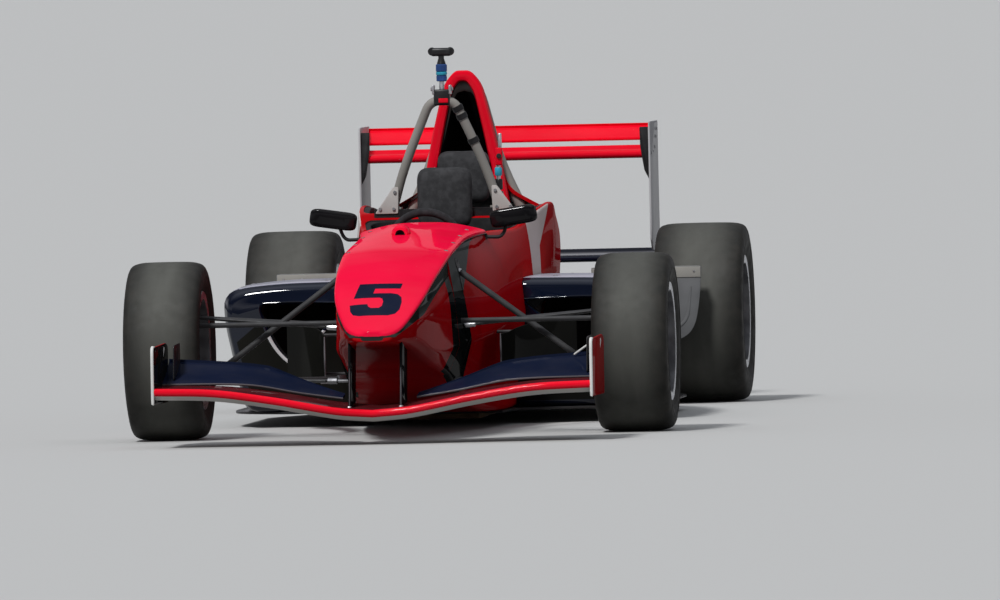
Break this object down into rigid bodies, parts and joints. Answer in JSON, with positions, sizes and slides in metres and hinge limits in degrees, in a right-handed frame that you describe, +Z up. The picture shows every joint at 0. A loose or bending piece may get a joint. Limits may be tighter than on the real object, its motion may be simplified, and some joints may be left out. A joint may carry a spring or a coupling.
{
  "type": "open wheel racing car",
  "caption": "Tandem two-seat open wheel racing car with wings, sidepods, roll hoop, slick tyres, rolling wheels and linked steering.",
  "frame": {"origin": "on the ground under the middle of the bounding box", "axes": "+Z up, the nose points along -Y, +X towards the left side of the car"},
  "size_m": [1.669, 4.7, 1.173],
  "materials": {
    "red_paint": "gloss",
    "navy_gloss": "gloss",
    "grey_paint": "gloss",
    "end_plate_red": "gloss",
    "radiator_core": "matt",
    "engine_metal": "cast",
    "carbon_black": "satin",
    "plank_wood": "worn",
    "black_gloss": "gloss",
    "camera_black": "satin",
    "seat_black": "satin",
    "steering_grip": "suede",
    "headrest_foam": "matt",
    "rod_steel": "satin",
    "black_tube": "satin",
    "upright_alloy": "machined",
    "shaft_steel": "satin",
    "tyre_rubber": "dusty slick",
    "rim_silver": "polished",
    "hub_steel": "machined"
  },
  "bodies": {
    "chassis": {"beam_wing": "navy_gloss", "camera_mount": "camera_black", "dash_panel": "carbon_black", "diffuser": "carbon_black", "engine_block": "engine_metal", "engine_cover": "red_paint", "floor_pan": "carbon_black", "front_hatch": "red_paint", "front_pushrods": "black_tube", "front_roll_hoop": "grey_paint", "front_seat": "seat_black", "front_wing_end_plates": "end_plate_red", "front_wing_flaps": "navy_gloss", "front_wing_main_plane": "red_paint", "front_wishbones": "black_tube", "gearbox_case": "engine_metal", "headrests": "headrest_foam", "hoop_bulkhead": "carbon_black", "mirrors": "black_gloss", "monocoque": "red_paint", "nose_cone": "red_paint", "nose_pylons": "navy_gloss", "rack_housing": "rod_steel", "radiators": "radiator_core", "rear_crash_structure": "carbon_black", "rear_pushrods": "black_tube", "rear_roll_arch": "red_paint", "rear_seat": "seat_black", "rear_uprights": "upright_alloy", "rear_wing_end_plates": "grey_paint", "rear_wing_flap": "red_paint", "rear_wing_main_plane": "red_paint", "rear_wing_pylons": "grey_paint", "rear_wishbones": "black_tube", "sidepod_left": "navy_gloss", "sidepod_right": "navy_gloss", "skid_plank": "plank_wood", "turning_vanes": "navy_gloss", "tyre_deflectors": "grey_paint"},
    "wheel_front_left": {"tyre_front_left": "tyre_rubber", "rim_front_left": "rim_silver", "hub_front_left": "hub_steel"},
    "wheel_front_right": {"tyre_front_right": "tyre_rubber", "rim_front_right": "rim_silver", "hub_front_right": "hub_steel"},
    "wheel_rear_left": {"tyre_rear_left": "tyre_rubber", "rim_rear_left": "rim_silver", "hub_rear_left": "hub_steel", "drive_shaft_left": "shaft_steel"},
    "wheel_rear_right": {"tyre_rear_right": "tyre_rubber", "rim_rear_right": "rim_silver", "hub_rear_right": "hub_steel", "drive_shaft_right": "shaft_steel"},
    "knuckle_left": {"upright_front_left": "upright_alloy"},
    "knuckle_right": {"upright_front_right": "upright_alloy"},
    "rack": {"steering_rack": "rod_steel"},
    "steering_wheel_body": {"steering_wheel": "steering_grip"}
  },
  "joints": [
    {"name": "steer_left", "type": "hinge", "parent": "chassis", "child": "knuckle_left", "pos_m": [0.657, -1.395, 0.273], "axis": [0, 0, 1], "range_deg": [-17, 17]},
    {"name": "steer_right", "type": "hinge", "parent": "chassis", "child": "knuckle_right", "pos_m": [-0.657, -1.395, 0.273], "axis": [0, 0, 1], "range_deg": [-17, 17]},
    {"name": "rack_slide", "type": "slide", "parent": "chassis", "child": "rack", "axis": [1, 0, 0], "range_m": [-0.024, 0.024]},
    {"name": "steering_wheel_turn", "type": "hinge", "parent": "chassis", "child": "steering_wheel_body", "pos_m": [0, -0.605, 0.56], "axis": [0, 0.9703, 0.2419], "range_deg": [-137, 137]},
    {"name": "roll_front_left", "type": "hinge", "parent": "knuckle_left", "child": "wheel_front_left", "pos_m": [0.717, -1.395, 0.273], "axis": [1, 0, 0], "continuous": true},
    {"name": "roll_rear_left", "type": "hinge", "parent": "chassis", "child": "wheel_rear_left", "pos_m": [0.658, 1.755, 0.288], "axis": [1, 0, 0], "continuous": true},
    {"name": "roll_front_right", "type": "hinge", "parent": "knuckle_right", "child": "wheel_front_right", "pos_m": [-0.717, -1.395, 0.273], "axis": [1, 0, 0], "continuous": true},
    {"name": "roll_rear_right", "type": "hinge", "parent": "chassis", "child": "wheel_rear_right", "pos_m": [-0.658, 1.755, 0.288], "axis": [1, 0, 0], "continuous": true}
  ],
  "couplings": [
    {"joint": "steer_right", "follows": "steer_left", "ratio": 1},
    {"joint": "rack_slide", "follows": "steer_left", "m_per_rad": 0.08},
    {"joint": "steering_wheel_turn", "follows": "steer_left", "ratio": 8}
  ]
}
